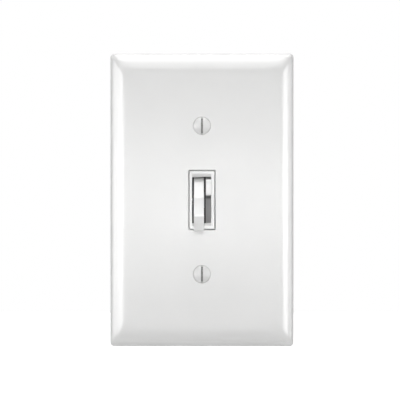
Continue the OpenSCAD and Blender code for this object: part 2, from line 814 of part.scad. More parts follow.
module traveller(side_z) {
    color("gold") {
        box([-pocket_floor - terminal_t, rocker_x + 1.5], [strip_y, base_y],
            [side_z - strip_w / 2, side_z + strip_w / 2]);
        terminal_plate(-1, side_z, base_y);
    }
}

module traveller_terminal_upper() traveller(terminal_z);
module traveller_terminal_lower() traveller(-terminal_z);

// Binding-head screw along X, its head on the given side
module side_screw(side, seat_x, end_x) {
    difference() {
        union() {
            rod_x(terminal_head_r, side > 0 ? seat_x : -seat_x - terminal_head_t,
                  side > 0 ? seat_x + terminal_head_t : -seat_x);
            rod_x(terminal_screw_r, side > 0 ? end_x : -seat_x, side > 0 ? seat_x : -end_x);
        }
        for (turn = [0, 90]) rotate([turn, 0, 0])
            translate([side * (seat_x + terminal_head_t), 0, 0])
                cube([2.2, 1, turn == 0 ? 2 * terminal_head_r + cut : 4], center = true);
    }
}

head_x = pocket_floor + terminal_t + wire_gap;
screw_end_x = pocket_floor - 3;

module traveller_screws() {
    color("gold") for (s = [-1, 1]) translate([0, terminal_y, s * terminal_z])
        side_screw(-1, head_x, screw_end_x);
}

module common_screw() {
    color("dimgray") translate([0, terminal_y, 0]) side_screw(1, head_x, screw_end_x);
}

earth_y = 3.4;

module earth_screw() {
    color("green") translate([0, earth_y, tab_z]) side_screw(-1, -tab_x + 0.4, -tab_x - strap_t - 4);
}

// ---- circuit board and its components ----

// Runs a round tool through the board
module board_hole(r) rod_y(r, board_front - cut, board_back + cut);

// Clears a terminal pocket
module side_notch(side, z) {
    box(side > 0 ? [pocket_floor - body_wall - 0.3, body_w] : [-body_w, -pocket_floor + body_wall + 0.3],
        [board_front - cut, board_back + cut],
        [z - pocket_h / 2 - body_wall - 0.3, z + pocket_h / 2 + body_wall + 0.3]);
}

resistor_z = [-15.6, -19.4];
resistor_x = [-12, -2];
diac_x = [3.4, 11.4];
diac_z = -22.6;
choke_at = [-5.2, -15.2];

module circuit_board() {
    color("tan") difference() {
        box([-board_w / 2, board_w / 2], [board_front, board_back], [-board_h / 2, board_h / 2]);
        box([cutout_left, cutout_right], [board_front - cut, board_back + cut],
            [-cutout_h / 2, cutout_h / 2]);
        four_corners(post_x, post_z) board_hole(post_r + 0.4);
        side_notch(1, 0);
        side_notch(-1, terminal_z);
        side_notch(-1, -terminal_z);
        for (x = [-1, 0, 1]) translate([triac_x + x * lead_pitch, 0, lead_z]) board_hole(0.55);
        at_pot_pins() board_hole(pot_pin_r + run);
        for (z = resistor_z, x = resistor_x) translate([x, 0, z]) board_hole(lead_r + 0.1);
        for (x = diac_x) translate([x, 0, diac_z]) board_hole(lead_r + 0.1);
    }
}

module triac_body() {
    color("dimgray") box([triac_x - triac_w / 2, triac_x + triac_w / 2],
                         [strap_back + pad_t + triac_tab_t, strap_back + pad_t + triac_body_t],
                         [triac_z, triac_z + triac_body_h]);
}

module triac_tab() {
    tab_y = strap_back + pad_t;
    lead_y = tab_y + triac_tab_t + 0.9;
    color("silver") difference() {
        box([triac_x - triac_w / 2, triac_x + triac_w / 2], [tab_y, tab_y + triac_tab_t],
            [triac_z, triac_z + triac_body_h + triac_tab_h]);
        translate([triac_x, 0, tab_hole_z]) rod_y(1.9, tab_y - cut, tab_y + triac_tab_t + cut);
    }
    color("gainsboro") for (x = [-1, 0, 1]) translate([triac_x + x * lead_pitch, 0, 0]) {
        box([-0.35, 0.35], [lead_y, lead_y + 0.5], [lead_z - 0.25, triac_z]);
        box([-0.35, 0.35], [lead_y, board_back + 1], [lead_z - 0.25, lead_z + 0.25]);
    }
}

module triac_pad() {
    color("lightblue") difference() {
        box([triac_x - triac_w / 2 - 0.5, triac_x + triac_w / 2 + 0.5], [strap_back, strap_back + pad_t],
            [triac_z - 0.5, triac_z + triac_body_h + triac_tab_h + 0.5]);
        translate([triac_x, 0, tab_hole_z]) rod_y(1.8, strap_back - cut, strap_back + pad_t + cut);
    }
}

module triac_screw() {
    tab_y = strap_back + pad_t + triac_tab_t;
    color("gainsboro") translate([triac_x, 0, tab_hole_z]) difference() {
        union() {
            rod_y(2.6, tab_y, tab_y + 1.9);
            rod_y(triac_screw_r, strap_front + 0.1, tab_y);
        }
        box([-3.6, 3.6], [tab_y + 1, tab_y + 3], [-0.4, 0.4]);
    }
}

choke_y = board_back + 4;
choke_r = 5.4;
core_r = 2.4;
wire_r = 0.4;
lead_r = 0.3;                            // radius of the leads of the small axial components

module choke_core() {
    color("darkgreen") translate([choke_at[0], choke_y, choke_at[1]]) rotate([90, 0, 0])
        rotate_extrude() translate([choke_r, 0]) circle(core_r);
}

module choke_winding() {
    turns = 12;
    loop_r = core_r + wire_r + 0.05;
    color("chocolate") translate([choke_at[0], choke_y, choke_at[1]]) {
        for (k = [0 : turns - 1]) rotate([0, 360 * k / turns, 0]) translate([choke_r, 0, 0])
            rotate_extrude() translate([loop_r, 0]) circle(wire_r);
        // the two ends, down to the board
        for (k = [0, 1]) rotate([0, 180 * k, 0]) translate([choke_r, 0, 0])
            rod_y(wire_r, board_back - choke_y, -loop_r);
    }
}

// Boxed capacitor on the back of the board, its end short of the body's wall by the spare depth
module capacitor(x, z, w, h, spare, shade) {
    off = 0.3;
    color(shade)
        box([x - w / 2, x + w / 2], [board_back + off, back_wall - spare], [z - h / 2, z + h / 2]);
    color("gainsboro") for (s = [-1, 1]) translate([x + s * (w / 2 - 1.5), 0, z])
        rod_y(0.4, board_back, board_back + off);
}

module filter_capacitor() capacitor(-4, 16.9, 18, 7, 1.7, "firebrick");

module timing_capacitor() capacitor(11.5, -18.3, 10, 5, 4.7, "gold");

// Axial component lying on the front of the board, with its leads bent back through it
module axial(x, z, r, l, body, lead) {
    y = board_front - r - 0.15;
    translate([0, 0, z]) {
        color(body) translate([0, y, 0]) rod_x(r, (x[0] + x[1] - l) / 2, (x[0] + x[1] + l) / 2);
        color(lead) {
            translate([0, y, 0]) rod_x(lead_r - 0.05, x[0], x[1]);
            for (at = x) translate([at, 0, 0]) rod_y(lead_r, y - lead_r, board_back + 0.8);
        }
    }
}

module diac() axial(diac_x, diac_z, 1, 4.2, "steelblue", "gainsboro");

module resistors() {
    for (z = resistor_z) axial(resistor_x, z, 1.2, 6.4, "tan", "gainsboro");
}

// ---- back body ----

module pocket(side, z) {
    floor_x = side > 0 ? [pocket_floor, body_w] : [-body_w, -pocket_floor];
    box(floor_x, [pocket_front, pocket_back], [z - pocket_h / 2, z + pocket_h / 2]);
    translate([0, terminal_y, z]) rod_x(terminal_screw_r + slip, side > 0 ? 0 : -pocket_floor - cut,
                                        side > 0 ? pocket_floor + cut : 0);
}

module pocket_walls(side, z) {
    inner = pocket_floor - body_wall;
    outer = body_w / 2 - body_wall / 2;
    box(side > 0 ? [inner, outer] : [-outer, -inner], [pocket_front - 1.2, pocket_back + 1.2],
        [z - pocket_h / 2 - body_wall, z + pocket_h / 2 + body_wall]);
}

module back_body() {
    inner_w = body_w - 2 * body_wall;
    inner_h = body_h - 2 * body_wall;
    edge = 2.5;                          // radius of its back edges
    label_w = 22;
    pockets = [[1, 0], [-1, terminal_z], [-1, -terminal_z]];
    color("dimgray") difference() {
        union() {
            difference() {
                loft(concat(
                    [for (k = [0 : 5]) let (a = 18 * k, inset = edge * (1 - sin(a)))
                        outline(body_w - 2 * inset, body_h - 2 * inset, edge,
                                body_back - edge + edge * cos(a))],
                    [outline(body_w, body_h, edge, strap_back)]
                ));
                box([-inner_w / 2, inner_w / 2], [strap_back - cut, back_wall], [-inner_h / 2, inner_h / 2]);
            }
            intersection() {
                box([-inner_w / 2 - 0.1, inner_w / 2 + 0.1], [strap_back, back_wall + 0.1],
                    [-inner_h / 2 - 0.1, inner_h / 2 + 0.1]);
                union() {
                    four_corners(post_x, post_z) rod_y(post_r, strap_back, back_wall + 0.1);
                    four_corners(inner_w / 2, ledge_z)
                        box([-ledge_w, ledge_w], [board_back, back_wall + 0.1], [-1.5, 1.5]);
                }
            }
            for (p = pockets) pocket_walls(p[0], p[1]);
        }
        for (p = pockets) pocket(p[0], p[1]);
        // slits that the terminal strips pass through
        for (s = [-1, 1]) translate([0, 0, s * terminal_z])
            box([-pocket_floor - cut, -pocket_floor + body_wall + cut], [strip_y - 0.1, base_y + 0.1],
                [-strip_w / 2 - 0.1, strip_w / 2 + 0.1]);
        box([pocket_floor - body_wall - cut, pocket_floor + cut],
            [bridge_y - 0.1, bridge_y + terminal_t + 0.1], [-ear_h / 2 - 0.1, ear_h / 2 + 0.1]);
        four_corners(post_x, post_z) {
            rod_y(body_screw_r + 0.1, strap_back - cut, body_back + cut);
            rod_y(body_head_r + 0.2, body_back - head_recess, body_back + cut);
        }
        // blank label recess and the wire-strip gauge below it
        box([-label_w / 2, label_w / 2], [body_back - 0.3, body_back + cut], [-8, 14]);
        box([-label_w / 2, label_w / 2], [body_back - 0.6, body_back + cut], [-15.5, -12.5]);
    }
}

module body_screws() {
    head_t = 1.7;
    recess = body_back - head_recess;
    color("gainsboro") four_corners(post_x, post_z) difference() {
        union() {
            rod_y(body_head_r, recess, recess + head_t);
            rod_y(body_screw_r, strap_front + 0.1, recess);
        }
        for (turn = [0, 90]) rotate([0, turn, 0])
            box([-0.4, 0.4], [recess + 0.7, body_back + cut], [-1.6, 1.6]);
    }
}

wall_plate();
plate_screws();
mounting_strap();
box_screws();
screw_retainers();
front_housing();
toggle_pin();
toggle_lever();
toggle_plunger();
plunger_spring();
slide_knob();
slide_shutter();
slide_carriage();
pot_case();
pot_track();
pot_lever();
pot_wiper();
pot_pins();
switch_base();
contact_rocker();
rocker_contacts();
rocker_pin();
fixed_contacts();
common_terminal();
traveller_terminal_upper();
traveller_terminal_lower();
traveller_screws();
common_screw();
earth_screw();
circuit_board();
triac_body();
triac_tab();
triac_pad();
triac_screw();
choke_core();
choke_winding();
filter_capacitor();
timing_capacitor();
diac();
resistors();
back_body();
body_screws();
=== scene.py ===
import json
import math

import bmesh
import bpy
from mathutils import Matrix, Vector
from mathutils.geometry import tessellate_polygon

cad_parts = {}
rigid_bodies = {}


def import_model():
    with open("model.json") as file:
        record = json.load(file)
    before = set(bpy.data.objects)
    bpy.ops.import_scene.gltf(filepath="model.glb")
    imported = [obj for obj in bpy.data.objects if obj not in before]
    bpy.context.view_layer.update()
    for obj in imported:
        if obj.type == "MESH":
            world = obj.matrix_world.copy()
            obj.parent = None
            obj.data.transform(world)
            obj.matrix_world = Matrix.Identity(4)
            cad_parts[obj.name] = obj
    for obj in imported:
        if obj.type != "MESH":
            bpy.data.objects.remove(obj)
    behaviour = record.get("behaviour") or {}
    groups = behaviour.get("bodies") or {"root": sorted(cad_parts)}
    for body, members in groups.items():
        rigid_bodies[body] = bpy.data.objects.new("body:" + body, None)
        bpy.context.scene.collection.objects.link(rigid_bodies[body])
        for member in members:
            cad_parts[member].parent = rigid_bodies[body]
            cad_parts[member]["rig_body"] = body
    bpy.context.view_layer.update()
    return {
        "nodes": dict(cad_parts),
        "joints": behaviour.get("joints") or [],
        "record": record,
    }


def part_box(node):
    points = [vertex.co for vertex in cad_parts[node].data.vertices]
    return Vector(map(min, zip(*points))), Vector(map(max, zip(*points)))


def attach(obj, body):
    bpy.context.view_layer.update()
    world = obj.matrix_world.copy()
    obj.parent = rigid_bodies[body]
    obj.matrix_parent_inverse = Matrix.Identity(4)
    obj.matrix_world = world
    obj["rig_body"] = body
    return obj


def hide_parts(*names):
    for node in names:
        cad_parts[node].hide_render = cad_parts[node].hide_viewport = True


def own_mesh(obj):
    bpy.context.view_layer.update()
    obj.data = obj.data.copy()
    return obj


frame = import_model()
mm = 0.001
print("frame loaded:", len(frame["nodes"]), "nodes")


# Camera, lights and floor

cameraSetup = {
    "distance": 1.0,  # metres from the plate's face
    "viewWidth": 162.3,  # mm seen across at the plate's face
    "aimX": -0.8,  # mm, the object stands a little right of the middle
    "aimZ": 0.0,
    "nearest": 0.01,  # metres
}

lightSetup = {
    # soft light for the matt part of each finish, kept out of the gloss
    "above": {"at": (0.0, -0.15, 1.1), "size": (1.2, 0.7), "power": 8.5, "gloss": False},
    "left": {"at": (-0.95, -0.25, 0.05), "size": (0.6, 0.9), "power": 2.2, "gloss": False},
    "right": {"at": (0.95, -0.25, 0.05), "size": (0.6, 0.9), "power": 1.9, "gloss": False},
    "front": {"at": (-0.04, -1.45, 0.2), "size": (0.1, 0.1), "power": 7.5, "gloss": False},
    "behind": {"at": (0.0, 0.9, 0.5), "size": (0.8, 0.6), "power": 4.0, "gloss": False},
    # bright panels that only the gloss shows
    "bandPanel": {"at": (0.0, -1.1, 0.0), "size": (1.6, 0.04), "power": 4.4, "matt": False},
    "leftPanel": {"at": (-0.8, -0.88, 0.0), "size": (1.0, 0.28), "power": 7.0, "matt": False},
    "rightPanel": {"at": (0.83, -0.87, 0.0), "size": (0.6, 0.28), "power": 5.3, "matt": False},
    "leftSidePanel": {"at": (-1.12, -0.28, 0.0), "size": (0.4, 0.28), "power": 2.3, "matt": False},
    "rightSidePanel": {"at": (1.12, -0.28, 0.0), "size": (0.4, 0.28), "power": 1.9, "matt": False},
    "lowTopPanel": {"at": (0.0, -1.05, 0.58), "size": (0.9, 0.55), "power": 5.0, "matt": False},
    "topPanel": {"at": (0.0, -0.58, 1.05), "size": (0.9, 0.83), "power": 14.0, "matt": False},
    "overPanel": {"at": (0.0, 0.23, 1.18), "size": (0.9, 0.7), "power": 11.0, "matt": False},
}

roomSetup = {
    "fill": 0.075,  # strength of the even light all round
    "floorZ": -0.16,  # metres, well below the plate
    "floorSize": 5.0,
    "floorColour": (0.5, 0.5, 0.5),
    "floorRough": 0.7,
    # white added to the floor where it is only looked at, near the object and far off
    "floorLift": (0.4, 1.0),
    "floorLiftRange": (0.25, 1.1),  # metres
}


def placeCamera():
    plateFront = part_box("wall_plate")[0].y
    cameraData = bpy.data.cameras.new("camera")
    cameraData.lens = cameraData.sensor_width * cameraSetup["distance"] / (cameraSetup["viewWidth"] * mm)
    cameraData.clip_start = cameraSetup["nearest"]
    camera = bpy.data.objects.new("camera", cameraData)
    aimX, aimZ = cameraSetup["aimX"] * mm, cameraSetup["aimZ"] * mm
    camera.location = (aimX, plateFront - cameraSetup["distance"], aimZ)
    camera.rotation_euler = (math.pi / 2, 0, 0)
    bpy.context.collection.objects.link(camera)
    bpy.context.scene.camera = camera


def placeLights():
    for name, setup in lightSetup.items():
        lamp = bpy.data.lights.new(name, "AREA")
        lamp.shape = "RECTANGLE"
        lamp.size, lamp.size_y = setup["size"]
        lamp.energy = setup["power"]
        lightObject = bpy.data.objects.new(name, lamp)
        lightObject.location = setup["at"]
        lightObject.rotation_euler = (-Vector(setup["at"])).to_track_quat("-Z", "Y").to_euler()
        lightObject.visible_camera = False
        lightObject.visible_glossy = setup.get("gloss", True)
        lightObject.visible_diffuse = setup.get("matt", True)
        bpy.context.collection.objects.link(lightObject)


def lookedAt(nodes, links):
    # 1 where the surroundings are only seen, directly or in a gloss, and 0 where they light the object
    path = nodes.new("ShaderNodeLightPath")
    seen = path.outputs["Is Camera Ray"]
    for ray in ("Is Glossy Ray", "Is Transmission Ray"):
        either = nodes.new("ShaderNodeMath")
        either.operation = "MAXIMUM"
        links.new(seen, either.inputs[0])
        links.new(path.outputs[ray], either.inputs[1])
        seen = either.outputs[0]
    return seen


def setRange(node, *values):
    for socket, value in zip(("From Min", "From Max", "To Min", "To Max"), values):
        node.inputs[socket].default_value = value


def paintWorld():
    world = bpy.data.worlds.new("room")
    bpy.context.scene.world = world
    world.use_nodes = True
    nodes, links = world.node_tree.nodes, world.node_tree.links
    output = next(node for node in nodes if node.type == "OUTPUT_WORLD")
    fill = next(node for node in nodes if node.type == "BACKGROUND")
    fill.inputs["Color"].default_value = (1, 1, 1, 1)
    fill.inputs["Strength"].default_value = roomSetup["fill"]
    white = nodes.new("ShaderNodeBackground")
    white.inputs["Color"].default_value = (1, 1, 1, 1)
    mix = nodes.new("ShaderNodeMixShader")
    links.new(lookedAt(nodes, links), mix.inputs[0])
    links.new(fill.outputs[0], mix.inputs[1])
    links.new(white.outputs[0], mix.inputs[2])
    links.new(mix.outputs[0], output.inputs["Surface"])


def layFloor():
    half = roomSetup["floorSize"] / 2
    z = roomSetup["floorZ"]
    mesh = bpy.data.meshes.new("floor")
    corners = [(-half, -half, z), (half, -half, z), (half, half, z), (-half, half, z)]
    mesh.from_pydata(corners, [], [(0, 1, 2, 3)])
    floor = bpy.data.objects.new("floor", mesh)
    bpy.context.collection.objects.link(floor)
    paint = bpy.data.materials.new("floor_paint")
    paint.use_nodes = True
    nodes, links = paint.node_tree.nodes, paint.node_tree.links
    shader = nodes["Principled BSDF"]
    shader.inputs["Base Color"].default_value = (*roomSetup["floorColour"], 1)
    shader.inputs["Roughness"].default_value = roomSetup["floorRough"]
    away = nodes.new("ShaderNodeVectorMath")
    away.operation = "LENGTH"
    links.new(nodes.new("ShaderNodeTexCoord").outputs["Object"], away.inputs[0])
    nearToFar = nodes.new("ShaderNodeMapRange")
    setRange(nearToFar, *roomSetup["floorLiftRange"], *roomSetup["floorLift"])
    links.new(away.outputs["Value"], nearToFar.inputs["Value"])
    lift = nodes.new("ShaderNodeMath")
    lift.operation = "MULTIPLY"
    links.new(lookedAt(nodes, links), lift.inputs[0])
    links.new(nearToFar.outputs["Result"], lift.inputs[1])
    glow = nodes.new("ShaderNodeEmission")
    links.new(lift.outputs[0], glow.inputs["Strength"])
    both = nodes.new("ShaderNodeAddShader")
    links.new(shader.outputs[0], both.inputs[0])
    links.new(glow.outputs[0], both.inputs[1])
    oneSided = nodes.new("ShaderNodeMixShader")  # clear from beneath, for a view from below the floor
    links.new(nodes.new("ShaderNodeNewGeometry").outputs["Backfacing"], oneSided.inputs[0])
    links.new(both.outputs[0], oneSided.inputs[1])
    links.new(nodes.new("ShaderNodeBsdfTransparent").outputs[0], oneSided.inputs[2])
    links.new(oneSided.outputs[0], nodes["Material Output"].inputs["Surface"])
    mesh.materials.append(paint)


placeCamera()
placeLights()
paintWorld()
layFloor()
bpy.context.scene.view_settings.view_transform = "Standard"
print("camera, lights and floor placed")


# Finishes. vary is how far the colour varies and over what size, and rough is the roughness and how far it
# varies. A grain is (size, depth) and a brush is (axis that the lines follow, spacing, depth), all in mm.

finishTable = {
    "white_nylon": {"colour": (0.78, 0.78, 0.775), "vary": (0.012, 18), "rough": (0.205, 0.015),
                    "grain": (0.25, 0.0014), "ior": 1.53},
    "white_paint": {"colour": (0.74, 0.74, 0.735), "vary": (0.015, 3), "rough": (0.34, 0.04),
                    "grain": (0.5, 0.004)},
    "strap_aluminium": {"colour": (0.72, 0.73, 0.74), "vary": (0.05, 9), "rough": (0.36, 0.1),
                        "metal": 1, "brush": ("Z", 0.18, 0.0022)},
    "zinc_steel": {"colour": (0.66, 0.67, 0.69), "vary": (0.07, 2.5), "rough": (0.27, 0.09), "metal": 1,
                   "grain": (0.35, 0.002)},
    "fibre_card": {"colour": (0.36, 0.20, 0.11), "vary": (0.22, 1.2), "rough": (0.72, 0.08),
                   "grain": (0.2, 0.012)},
    "bright_steel": {"colour": (0.64, 0.64, 0.65), "vary": (0.04, 4), "rough": (0.25, 0.07), "metal": 1,
                     "brush": ("Z", 0.12, 0.0015)},
    "spring_steel": {"colour": (0.36, 0.36, 0.37), "vary": (0.08, 1), "rough": (0.33, 0.06), "metal": 1,
                     "grain": (0.1, 0.001)},
    "grey_plastic": {"colour": (0.42, 0.42, 0.42), "vary": (0.05, 3), "rough": (0.5, 0.05),
                     "grain": (0.12, 0.003)},
    "natural_nylon": {"colour": (0.76, 0.73, 0.64), "vary": (0.03, 6), "rough": (0.38, 0.05),
                      "grain": (0.25, 0.002)},
    "brown_phenolic": {"colour": (0.12, 0.05, 0.025), "vary": (0.25, 0.8), "rough": (0.42, 0.08),
                       "grain": (0.3, 0.004)},
    "brass": {"colour": (0.78, 0.58, 0.26), "vary": (0.09, 3), "rough": (0.26, 0.1), "metal": 1,
              "grain": (0.3, 0.0015)},
    "silver_contact": {"colour": (0.80, 0.79, 0.76), "vary": (0.1, 0.7), "rough": (0.3, 0.1),
                       "metal": 1, "grain": (0.12, 0.002)},
    "tinned_copper": {"colour": (0.70, 0.70, 0.69), "vary": (0.1, 1.5), "rough": (0.34, 0.12),
                      "metal": 1, "grain": (0.3, 0.004)},
    "black_steel": {"colour": (0.03, 0.03, 0.032), "vary": (0.3, 1.5), "rough": (0.36, 0.1),
                    "metal": 0.6, "grain": (0.3, 0.002)},
    "green_steel": {"colour": (0.03, 0.24, 0.09), "vary": (0.18, 2), "rough": (0.3, 0.1), "metal": 0.85,
                    "grain": (0.3, 0.002)},
    "board_laminate": {"colour": (0.50, 0.33, 0.14), "vary": (0.12, 4), "rough": (0.45, 0.05),
                       "brush": ("X", 0.3, 0.003)},
    "black_epoxy": {"colour": (0.025, 0.025, 0.027), "vary": (0.2, 1), "rough": (0.55, 0.08),
                    "grain": (0.1, 0.004)},
    "mica_pad": {"colour": (0.52, 0.60, 0.63), "vary": (0.06, 1.5), "rough": (0.6, 0.05),
                 "grain": (0.15, 0.003)},
    "core_paint": {"colour": (0.06, 0.22, 0.10), "vary": (0.1, 2), "rough": (0.4, 0.05),
                   "grain": (0.4, 0.006)},
    "copper_enamel": {"colour": (0.58, 0.20, 0.06), "vary": (0.08, 3), "rough": (0.2, 0.05),
                      "metal": 0.8, "grain": (0.5, 0.001)},
    "red_epoxy": {"colour": (0.40, 0.06, 0.035), "vary": (0.06, 4), "rough": (0.28, 0.05),
                  "grain": (0.9, 0.01)},
    "yellow_film": {"colour": (0.72, 0.50, 0.07), "vary": (0.04, 4), "rough": (0.35, 0.04),
                    "grain": (0.4, 0.003)},
    "blue_glass": {"colour": (0.07, 0.12, 0.38), "vary": (0.1, 1), "rough": (0.16, 0.04),
                   "grain": (0.4, 0.001)},
    "resistor_coat": {"colour": (0.62, 0.46, 0.26), "vary": (0.05, 1.5), "rough": (0.3, 0.05),
                      "grain": (0.3, 0.004)},
    "dark_thermoset": {"colour": (0.045, 0.045, 0.05), "vary": (0.16, 2.2), "rough": (0.43, 0.1),
                       "grain": (0.28, 0.006)},
    "painted_slot_shade": {"colour": (0.27, 0.27, 0.265), "vary": (0.25, 0.6), "rough": (0.5, 0.1),
                  "grain": (0.2, 0.006)},  # grey painted onto the floor of a painted screw's slot as its shade
}
# toggle and knob: a lighter copy of the white nylon, painted light that makes them read brighter than the
# plate
finishTable["nylon_with_painted_light"] = {**finishTable["white_nylon"], "colour": (0.9, 0.9, 0.895)}

noiseSetup = {
    "spread": (0.3, 0.7),  # part of a noise that the colour and the roughness run over
    "roughPatch": 0.6,  # size of a rough patch against a colour patch
    "brushStretch": 0.03,  # of a brush along its lines
}


def makeFinish(name, look):
    finish = bpy.data.materials.new(name)
    finish.use_nodes = True
    nodes, links = finish.node_tree.nodes, finish.node_tree.links
    shader = nodes["Principled BSDF"]
    shader.inputs["Metallic"].default_value = look.get("metal", 0)
    shader.inputs["IOR"].default_value = look.get("ior", 1.5)
    place = nodes.new("ShaderNodeTexCoord").outputs["Object"]
    vary, patch = look["vary"]
    rough, roughVary = look["rough"]

    def noise(size, detail, along=None):
        texture = nodes.new("ShaderNodeTexNoise")
        texture.inputs["Scale"].default_value = 1 / (size * mm)
        texture.inputs["Detail"].default_value = detail
        spot = place
        if along:
            stretch = nodes.new("ShaderNodeMapping")
            stretch.inputs["Scale"].default_value["XYZ".index(along)] = noiseSetup["brushStretch"]
            links.new(place, stretch.inputs["Vector"])
            spot = stretch.outputs["Vector"]
        links.new(spot, texture.inputs["Vector"])
        return texture.outputs["Fac"]

    tint = nodes.new("ShaderNodeValToRGB")
    for stop, sign, position in zip(tint.color_ramp.elements, (-1, 1), noiseSetup["spread"]):
        stop.position = position
        stop.color = (*[min(1, c * (1 + sign * vary)) for c in look["colour"]], 1)
    links.new(noise(patch, detail=4), tint.inputs["Fac"])
    links.new(tint.outputs["Color"], shader.inputs["Base Color"])
    polish = nodes.new("ShaderNodeMapRange")
    setRange(polish, *noiseSetup["spread"], rough - roughVary, rough + roughVary)
    links.new(noise(patch * noiseSetup["roughPatch"], detail=6), polish.inputs["Value"])
    links.new(polish.outputs["Result"], shader.inputs["Roughness"])
    along, size, depth = look["brush"] if "brush" in look else (None, *look["grain"])
    bump = nodes.new("ShaderNodeBump")
    bump.inputs["Distance"].default_value = depth * mm
    links.new(noise(size, detail=3, along=along), bump.inputs["Height"])
    links.new(bump.outputs["Normal"], shader.inputs["Normal"])
    return finish


finishes = {name: makeFinish(name, look) for name, look in finishTable.items()}
print("finishes made:", len(finishes))


# Mesh tools. Lengths are in mm from here on, and rings run clockwise as seen from the room.

overlap = 0.3  # how far one block of a piece runs into the next
past = 1  # how far a cutter runs past the surface that it cuts
weldDistance = 2e-7  # metres
flatAngle = math.radians(0.5)  # faces nearer than this to one plane become one


def quarterTurn(steps):
    # (cosine, sine) from 0 to 90 degrees
    angles = [math.pi / 2 * i / steps for i in range(steps + 1)]
    return [(math.cos(a), math.sin(a)) for a in angles]


def circleRing(radius, y, centre=(0, 0), steps=48):
    turns = [-2 * math.pi * i / steps for i in range(steps)]
    return [(centre[0] + radius * math.cos(a), y, centre[1] + radius * math.sin(a)) for a in turns]


def roundedRing(halfWidth, halfHeight, radius, y, steps=8):
    ring = []
    for signX, signZ, start in ((1, 1, 90), (1, -1, 0), (-1, -1, 270), (-1, 1, 180)):
        for step in range(steps + 1):
            angle = math.radians(start - 90 * step / steps)
            ring.append((signX * (halfWidth - radius) + radius * math.cos(angle), y,
                         signZ * (halfHeight - radius) + radius * math.sin(angle)))
    return ring


class Shell:
    # Vertices and faces of one piece

    def __init__(self):
        self.points = []
        self.faces = []

    def ring(self, points):
        start = len(self.points)
        self.points.extend(points)
        return list(range(start, start + len(points)))

    def join(self, first, second):
        for i in range(len(first)):
            j = (i + 1) % len(first)
            self.faces.append((first[i], first[j], second[j], second[i]))

    def loft(self, rings, closed=False, capped=False):
        loops = [self.ring(points) for points in rings]
        for first, second in zip(loops, loops[1:] + (loops[:1] if closed else [])):
            self.join(first, second)
        if capped:
            self.faces += [tuple(loops[0]), tuple(loops[-1])]
        return loops

    def fill(self, outer, holes):
        # Flat face with holes in it
        loops = [outer, *holes]
        ids = [i for loop in loops for i in loop]
        for triangle in tessellate_polygon([[Vector(self.points[i]) for i in loop] for loop in loops]):
            self.faces.append(tuple(ids[i] for i in triangle))

    def block(self, low, high):
        ends = (low, high)
        corners = self.ring([tuple(ends[i >> axis & 1][axis] for axis in range(3)) for i in range(8)])
        for face in ((0, 2, 3, 1), (4, 5, 7, 6), (0, 1, 5, 4), (2, 6, 7, 3), (0, 4, 6, 2), (1, 3, 7, 5)):
            self.faces.append(tuple(corners[i] for i in face))

    def tube(self, centre, outer, inner, y0, y1):
        profile = ((inner, y0), (outer, y0), (outer, y1), (inner, y1))
        self.loft([circleRing(radius, y, centre) for radius, y in profile], closed=True)

    def object(self, name):
        # Makes the object, welded and with its faces turned outwards
        mesh = bpy.data.meshes.new(name)
        mesh.from_pydata([Vector(p) * mm for p in self.points], [], self.faces)
        work = bmesh.new()
        work.from_mesh(mesh)
        bmesh.ops.remove_doubles(work, verts=work.verts, dist=weldDistance)
        bmesh.ops.recalc_face_normals(work, faces=work.faces)
        work.to_mesh(mesh)
        work.free()
        made = bpy.data.objects.new(name, mesh)
        bpy.context.collection.objects.link(made)
        return made


def cutAway(piece, *shells):
    # Takes each shell's volume out of the piece
    for shell in shells:
        tool = shell.object("cutter")
        modifier = piece.modifiers.new("cut", "BOOLEAN")
        modifier.operation = "DIFFERENCE"
        modifier.solver = "EXACT"
        modifier.object = tool
        cut = bpy.data.meshes.new_from_object(piece.evaluated_get(bpy.context.evaluated_depsgraph_get()))
        piece.modifiers.clear()
        piece.data = cut
        bpy.data.objects.remove(tool)


def roundEdges(piece, width, within, sharpest=40):
    # Rounds the sharp edges that lie inside a box
    low, high = (Vector(corner) * mm for corner in within)
    work = bmesh.new()
    work.from_mesh(piece.data)
    inside = [all(low[k] <= vert.co[k] <= high[k] for k in range(3)) for vert in work.verts]
    edges = [edge for edge in work.edges
             if edge.is_manifold and edge.calc_face_angle() > math.radians(sharpest)
             and all(inside[vert.index] for vert in edge.verts)]
    bmesh.ops.bevel(work, geom=edges, offset=width * mm, segments=2, profile=0.5, affect="EDGES",
                    clamp_overlap=True)
    work.to_mesh(piece.data)
    work.free()


def settle(piece, finish, node, sharpest=32, replaced=True, look=None):
    # Shades the piece, gives it its finish and hangs it on the node's body
    piece.data.shade_smooth()
    piece.data.set_sharp_from_angle(angle=math.radians(sharpest))
    piece.data.materials.clear()
    piece.data.materials.append(finishes[look or finish])
    modifier = piece.modifiers.new("even_faces", "WEIGHTED_NORMAL")
    modifier.mode = "FACE_AREA"
    modifier.keep_sharp = True
    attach(piece, frame["nodes"][node]["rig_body"])
    if replaced:
        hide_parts(node)


# Wall plate

plate = {
    "edge": 1.4,  # straight edge against the wall
    "flank": 8.0,  # width of the curved flank
    "power": 2.2,  # roundness of the flank, 2 is an ellipse
    "cornerRadius": 1.6,
    "cornerGrowth": 0.4,  # how much rounder the corners get for each mm inwards
    "outsideSteps": 24,
    "insideSteps": 10,
    "flatMargin": 1.0,  # even strip between the flank and the filled face
    "rim": 1.8,
    "wall": 1.7,
    "softEdge": 0.22,
    "opening": (10.95, 24.3),
    "openingRadius": 0.35,
    "frameWall": 1.6,  # collar behind the opening
    "screwPitch": 60.3,
    "screwHeadRadius": 3.5,
    "screwHeadGap": 0.08,
    "screwHole": 2.0,
    "bossRadius": 5.0,
    "ribX": 15.0,
    "ribThickness": 1.2,
    "ribEnd": 21.0,
    "behindGap": 0.1,  # between the ribs and the strap
}
countersinkHalfAngle = math.radians(41)


